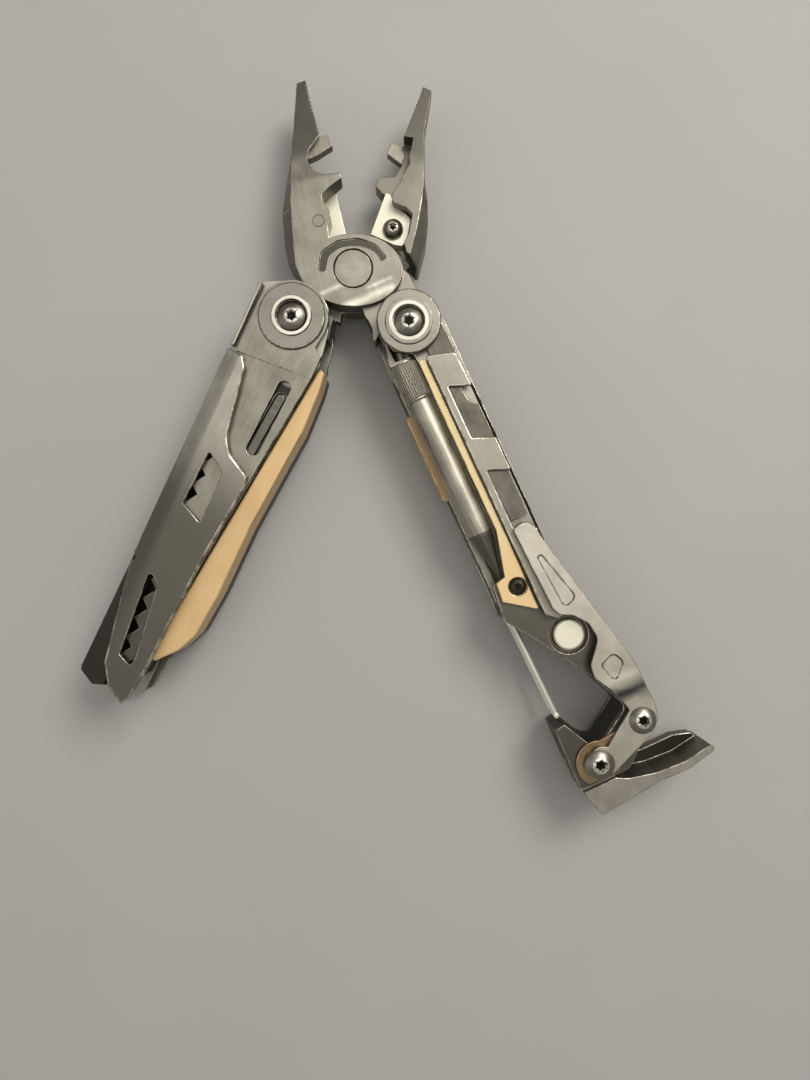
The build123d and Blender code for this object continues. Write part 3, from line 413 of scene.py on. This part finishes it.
# marks: a spot, sizes in mm and a colour; an inner radius below 0 fills the ring
def ringMark(at, inner, outer, colour, soft=0.08, share=1.0, ragged=0.0, **more):
    return {"kind": "ring", "at": at, "inner": inner, "outer": outer, "colour": colour,
            "soft": soft, "share": share, "ragged": ragged, **more}


def barMark(at, turn, size, colour, soft=0.08, share=1.0, ragged=0.0):
    return {"kind": "bar", "at": at, "turn": turn, "size": size, "colour": colour,
            "soft": soft, "share": share, "ragged": ragged}


def fadeMark(at, turn, low, high, colour, share=1.0, **more):
    return {"kind": "past", "at": at, "turn": turn, "low": low, "high": high,
            "colour": colour, "share": share, **more}


def socketMarks(at, size):
    # a screw's socket painted dark as shade, in a light rim painted partly as rubbed wear and
    # partly as a highlight
    return [ringMark(at, size, size * 1.5, paleWearAndHighlight, soft=0.1, share=0.9, ragged=0.8),
            ringMark(at, -1.0, size, socketShade)]


def washerMarks(at, outer, share, ragged):
    # a worn light ring round a groove painted very dark as shade
    return [ringMark(at, 3.55, outer, paleWearAndHighlight, soft=0.12, share=share, ragged=ragged),
            ringMark(at, -1.0, 3.5, shadeBlack)]


# rubbed streaks across the pivot disc: place, half length and half width, softness, share
discStreaks = (
    ((3.2, -6.4), (6.5, 0.9), 1.0, 0.75), ((-4.2, -4.4), (4.0, 0.5), 0.8, 0.6),
    ((5.8, -3.2), (3.2, 0.4), 0.6, 0.6))


# worn, stained, darkened and lightened places of single pieces, with painted shade in gaps,
# grooves and sockets
marks = {
    "jaw_front": [
        fadeMark(jawPivot, ways["frontJaw"], 24.0, 29.0, (0.17, 0.16, 0.135), share=0.8),
        # painted shade: a dark ring round the pivot on the faces lying lower than 5.15 mm
        ringMark(jawPivot, 4.6, 8.4, (0.07, 0.066, 0.054), soft=0.1, share=0.8, below=5.15),
    ] + [
        barMark(alongFrom(jawPivot, "flat", *spot), 24.0, size, paleWearAndHighlight,
                soft=soft, share=share, ragged=2.4)
        for spot, size, soft, share in discStreaks],
    "jaw_back": [
        fadeMark(jawPivot, ways["backJaw"], 25.0, 30.0, (0.09, 0.084, 0.07), share=0.9),
        fadeMark(jawPivot, ways["backJaw"], -20.0, -15.0, (0.2, 0.187, 0.157), share=0.6),
    ],
    "plier_pivot_pin": [
        ringMark(jawPivot, 0.0, 2.9, (0.56, 0.52, 0.44), soft=1.2, share=0.35),
    ],
    "liner_left_front": [
        # painted shade: the liner is darkened past 13.4 mm and made very dark under the slot,
        # where it shows through gaps
        fadeMark(leftPivot, ways["left"], 13.4, 14.4, (0.05, 0.046, 0.038), share=0.95),
        barMark(alongFrom(leftPivot, "left", 60.0, -1.7), ways["left"], (30.0, 3.1), shadeBlack,
                soft=0.2),
    ],
    "saw": [fadeMark(leftPivot, ways["left"], 52.0, 58.0, (0.1, 0.093, 0.077), share=0.8)],
    "cover_left_front": [
        fadeMark(leftPivot, ways["left"], 18.0, 52.0, (0.13, 0.121, 0.098), share=0.85),
    ],
    "washers_left": washerMarks(leftPivot, 4.4, 0.8, 0.9),
    "washers_right": washerMarks(rightPivot, 4.3, 0.6, 1.0),
    "pivot_screws_left": socketMarks(leftPivot, 1.1),
    "pivot_screws_right": socketMarks(rightPivot, 1.1),
    "cutter_screw_back": socketMarks(middleOf("cutter_screw_back"), 0.75),
    # painted shade: the screw's socket
    "tan_screw_right": [ringMark(middleOf("tan_screw_right"), -1.0, 0.6, socketShade)],
    "tan_spine_right": [
        fadeMark(rightPivot, ways["right"], 0.0, 1.0, (0.34, 0.23, 0.12), share=0.5),
    ],
    "liner_right_front": [
        # painted shade: the liner is darkened past 44 mm, and a dark line of shadow runs along
        # its outer edge
        fadeMark(rightPivot, ways["right"], 44.0, 58.0, (0.1, 0.093, 0.077), share=0.75),
        barMark(alongFrom(rightPivot, "right", 40.0, 6.95), ways["right"], (22.5, 0.42), shadeBlack),
    ],
    "clip_screws": socketMarks(tailScrews[0], 1.15) + socketMarks(tailScrews[1], 1.2),
    "punch": [
        fadeMark(rightPivot, ways["right"], 47.9, 48.3, (0.15, 0.14, 0.116), share=0.85),
    ],
    "tan_scale_right": [
        fadeMark(rightPivot, ways["right"], 50.0, 57.0, (0.95, 0.67, 0.34), share=0.9),
    ],
    "pocket_clip": [
        barMark(alongFrom(rightPivot, "right", 89.0, 8.0), ways["right"], (1.2, 9.0), paleWearAndHighlight,
                soft=1.4, share=0.6),
        barMark(alongFrom(rightPivot, "right", 92.4, 8.0), ways["right"], (1.0, 9.0),
                (0.06, 0.06, 0.07), soft=1.3, share=0.85, ragged=0.5),
    ],
    "hammer_head": [
        # painted shade: the hammer is painted very dark below 1.6 mm under the pivot's middle,
        # over its lower flank and underside
        fadeMark(rightPivot, ways["right"], 0.0, 1.0, (0.05, 0.046, 0.038), share=0.95,
                 below=-1.6),
    ],
}


# the punch's fluted collar, in mm along the punch from the pivot and out from its axis;
# the corners of the CAD collar up to slimPast and slimWithin of it shrink by slimBy
flutes = {
    "start": 7.5, "end": 15.6, "count": 34, "crest": 2.94, "depth": 0.13, "bevel": 0.15,
    "slimPast": 0.2, "slimWithin": 0.1, "slimBy": 0.3, "tipLayer": 0.05,
}
punchForward, punchSide = directions("right")


def punchAxis():
    # where the punch's own axis meets the line across the pivot
    corners = [vertex.co for vertex in cad["punch"].data.vertices]
    farthest = max(corner.dot(punchForward) for corner in corners)
    tip = [corner for corner in corners
           if farthest - corner.dot(punchForward) < flutes["tipLayer"] * millimetre]
    centre = sum(tip, Vector()) / len(tip)
    return centre - punchForward * (centre - rightPivot).dot(punchForward)


punchCentre = punchAxis()


def addObject(name, content):
    thing = bpy.data.objects.new(name, content)
    bpy.context.scene.collection.objects.link(thing)
    return thing


def flutedCollar():
    # a bevelled cylinder with four corners to each flute, two of them sunk into a valley
    start, end = flutes["start"], flutes["end"]
    crest, bevel = flutes["crest"], flutes["bevel"]
    corners = flutes["count"] * 4
    across = Matrix((-punchSide, Vector((0, 0, 1)), -punchForward)).transposed().to_4x4()
    across = across @ Matrix.Rotation(math.pi / corners, 4, "Z")
    shape = bmesh.new()
    rings = []
    for along, radius in ((start, crest - bevel), (start + bevel, crest),
                          (end - bevel, crest), (end, crest - bevel)):
        centre = punchCentre + punchForward * along * millimetre
        circle = bmesh.ops.create_circle(
            shape, segments=corners, radius=radius * millimetre,
            matrix=Matrix.Translation(centre) @ across)
        rings.append(circle["verts"])
    bmesh.ops.bridge_loops(shape, edges=shape.edges)
    bmesh.ops.holes_fill(shape, edges=shape.edges)
    for ring in rings[1:3]:
        centre = sum((vertex.co for vertex in ring), Vector()) / corners
        for index, vertex in enumerate(ring):
            if index % 4 > 1:
                out = (vertex.co - centre).normalized()
                vertex.co -= out * flutes["depth"] * millimetre
    bmesh.ops.recalc_face_normals(shape, faces=shape.faces)
    mesh = bpy.data.meshes.new("punchFlutes")
    shape.to_mesh(mesh)
    shape.free()
    mesh.materials.append(finishes("punch", "satin", "right")[levelPart])
    collar = addObject("punchFlutes", mesh)
    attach(collar, bodyOf["punch"])


def slimCollar(shape):
    # the CAD collar shrinks under the fluted one
    for vertex in shape.verts:
        away = (vertex.co - punchCentre) / millimetre
        along = away.dot(punchForward)
        out = away - punchForward * along
        inReach = along < flutes["end"] + flutes["slimPast"]
        if inReach and out.length > flutes["crest"] - flutes["slimWithin"]:
            vertex.co -= out.normalized() * flutes["slimBy"] * millimetre


finishSets = {}
levelPart, edgePart, shadedFlankPart = 0, 1, 2  # places of the three materials on a piece
turnedLooks = ("satin", "wire", "screw", "bright")  # one finish all round
flankScratch = 0.4


# a copy of a finish painted darker, as shade on the upright faces
def darker(look, amount):
    return {**look, "dark": tuple(part * amount for part in look["dark"]),
            "light": tuple(part * amount for part in look["light"]), "scratch": flankScratch}


def finishes(node, look, way):
    # the materials of a piece's level faces, bevelled edges and upright faces, the last painted
    # darker as shade
    key = look + "_" + way + ("_" + node if node in marks else "")
    if key not in finishSets:
        face = dict(looks[look])
        if node == "punch":
            face.update(flutes=flutes, axis=punchCentre)
        finishSets[key] = (
            steel(key, way, face, marks.get(node, ())),
            wornEdge(key + "_edge", way, edges[look]),
            steel(key + "_shaded_flank", way, darker(face, shade[look])))
    return finishSets[key]


# lengths in mm, angles in degrees, shares of the edge width
rounding = {
    "weld": 0.002, "flatAngle": 0.6, "sharpAngle": 26, "smoothAngle": 38, "segments": 2,
    "strayShare": 0.75, "tries": 6, "skipReach": 0.4, "shallow": 0.3, "hollowShare": 2.5,
}


def pieceName(node):
    words = node.split("_")
    return words[0] + "".join(word.capitalize() for word in words[1:]) + "Fine"


def spotTree(spots):
    tree = KDTree(len(spots))
    for index, spot in enumerate(spots):
        tree.insert(spot, index)
    tree.balance()
    return tree


def isLevel(face):
    return abs(face.normal.z) > 0.5  # within 60 degrees of level


def shallowSpots(shape):
    # corners of the low upright faces, which stand round shallow recesses
    spots = []
    for face in shape.faces:
        heights = [vertex.co.z for vertex in face.verts]
        low = max(heights) - min(heights) < rounding["shallow"] * millimetre
        if low and not isLevel(face):
            spots += [vertex.co for vertex in face.verts]
    return spots


def bevelled(clean, width, skip):
    shape = clean.copy()
    shape.edges.ensure_lookup_table()
    sharp = [edge for edge in shape.edges
             if edge.is_manifold and edge.index not in skip
             and edge.calc_face_angle(0) > math.radians(rounding["sharpAngle"])]
    done = bmesh.ops.bevel(
        shape, geom=sharp, offset=width * millimetre, offset_type="OFFSET",
        segments=rounding["segments"], profile=0.5, affect="EDGES", clamp_overlap=False,
        material=-1)
    return shape, done["faces"]


def roundEdges(clean, width):
    # bevels the sharp edges and leaves out those where the bevel would fold or spike
    surface = BVHTree.FromBMesh(clean)
    skip = set()
    for attempt in range(rounding["tries"]):
        if attempt:
            shape.free()
        shape, corners = bevelled(clean, width, skip)
        stray = [vertex for vertex in shape.verts
                 if surface.find_nearest(vertex.co)[3]
                 > width * rounding["strayShare"] * millimetre]
        if not stray:
            break
        tree = spotTree([surface.find_nearest(vertex.co)[0] for vertex in stray]
                        + [edge.other_vert(vertex).co.copy() for vertex in stray
                           for edge in vertex.link_edges])
        reach = rounding["skipReach"] * millimetre * (attempt + 1)
        skip |= {edge.index for edge in clean.edges
                 if min(tree.find(vertex.co)[2] for vertex in edge.verts) < reach}
    return shape, corners, len(stray)


def fineCopy(node, look, width, way):
    # a CAD piece with its sharp edges rounded, so that they catch the light
    mesh = cad[node].data.copy()
    mesh.materials.clear()
    for material in finishes(node, look, way):
        mesh.materials.append(material)
    clean = bmesh.new()
    clean.from_mesh(mesh)
    bmesh.ops.remove_doubles(clean, verts=clean.verts, dist=rounding["weld"] * millimetre)
    bmesh.ops.dissolve_limit(
        clean, angle_limit=math.radians(rounding["flatAngle"]), verts=clean.verts,
        edges=clean.edges)
    if node == "punch":
        slimCollar(clean)
    clean.normal_update()
    clean.edges.index_update()
    for face in clean.faces:
        # upright faces take the copy painted darker as shade
        plain = isLevel(face) or look in turnedLooks
        face.material_index = levelPart if plain else shadedFlankPart
        face.smooth = True
    shape, corners, stray = roundEdges(clean, width)
    if stray:
        print("  stray corners on", node, stray)
    spots = shallowSpots(clean)
    hollows = spotTree(spots)
    reach = width * rounding["hollowShare"] * millimetre
    # painted shade: bevels round shallow recesses take the upright faces' finish, painted darker
    for face in corners:
        inHollow = spots and hollows.find(face.calc_center_median())[2] < reach
        face.material_index = shadedFlankPart if inHollow else edgePart
        face.smooth = True
    shape.to_mesh(mesh)
    shape.free()
    clean.free()
    mesh.set_sharp_from_angle(angle=math.radians(rounding["smoothAngle"]))
    piece = addObject(pieceName(node), mesh)
    even = piece.modifiers.new("even", "WEIGHTED_NORMAL")
    even.keep_sharp = True
    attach(piece, bodyOf[node])
    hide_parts(node)


for node, (look, width, way) in dress.items():
    fineCopy(node, look, width, way)
flutedCollar()
print("pieces dressed:", len(dress) + 1)


# floor, light and camera, in metres; places are from the spot that the camera looks at
studio = {
    "floorReach": 4.0, "floorGap": 0.00003, "floorCells": 8,
    "floor": (0.52, 0.508, 0.48), "floorTint": 0.04, "cloudScale": 0.02, "grainScale": 1.4,
    "floorRough": 0.75, "floorDepth": 0.02,
    "air": (0.62, 0.60, 0.57), "airStrength": 0.42,
    "lens": 27.03, "sensor": 36, "clip": 0.005, "height": 0.194, "aim": (0.01145, -0.0599),
}
lights = {
    "keyLight": {"from": (0.28, 0.34, 0.55), "size": (0.3, 0.3), "power": 2.4,
                 "colour": (1, 0.97, 0.92)},
    "topLight": {"from": (0.02, 0.12, 0.62), "size": (0.6, 0.6), "power": 0.85,
                 "colour": (1, 0.975, 0.93)},
    "fillLight": {"from": (-0.5, -0.1, 0.45), "size": (0.5, 0.7), "power": 0.35,
                  "colour": (0.95, 0.97, 1.0)},
}


def floorMaterial():
    shader = Shader("floorPaper")
    flat = shader.turned()
    cloud = shader.noise(flat, studio["cloudScale"])
    grain = shader.noise(flat, studio["grainScale"])
    paper, tint = Vector(studio["floor"]), studio["floorTint"]
    return shader.finish({
        "Base Color": shader.blend(cloud, rgb(*(paper * (1 - tint))), rgb(*(paper * (1 + tint)))),
        "Roughness": studio["floorRough"],
        "Normal": shader.bump(grain, studio["floorDepth"])})


def layFloor():
    cells = studio["floorCells"]
    sheet = bmesh.new()
    bmesh.ops.create_grid(
        sheet, x_segments=cells, y_segments=cells, size=studio["floorReach"])
    bmesh.ops.translate(sheet, verts=sheet.verts, vec=(0, 0, -studio["floorGap"]))
    mesh = bpy.data.meshes.new("floorSheet")
    sheet.to_mesh(mesh)
    sheet.free()
    mesh.materials.append(floorMaterial())
    addObject("floorSheet", mesh)


def fillAir():
    world = bpy.data.worlds.new("studioAir")
    bpy.context.scene.world = world
    world.use_nodes = True
    air = world.node_tree.nodes["Background"]
    air.inputs["Color"].default_value = rgb(*studio["air"])
    air.inputs["Strength"].default_value = studio["airStrength"]


def hangLight(name, lamp, aim):
    light = bpy.data.lights.new(name, "AREA")
    light.shape = "RECTANGLE"
    light.size, light.size_y = lamp["size"]
    light.energy = lamp["power"]
    light.color = lamp["colour"]
    hung = addObject(name, light)
    hung.location = aim + Vector(lamp["from"])
    hung.rotation_euler = (aim - hung.location).to_track_quat("-Z", "Y").to_euler()


def setCamera(aim):
    view = bpy.data.cameras.new("camera")
    view.lens = studio["lens"]
    view.sensor_width = studio["sensor"]
    view.clip_start = studio["clip"]
    camera = addObject("camera", view)
    camera.location = aim + Vector((0, 0, studio["height"]))
    bpy.context.scene.camera = camera
    bpy.context.scene.view_settings.view_transform = "Standard"


aimX, aimY = studio["aim"]
aim = Vector((jawPivot.x + aimX, jawPivot.y + aimY, 0))
layFloor()
fillAir()
for name, lamp in lights.items():
    hangLight(name, lamp, aim)
setCamera(aim)
print("studio ready")
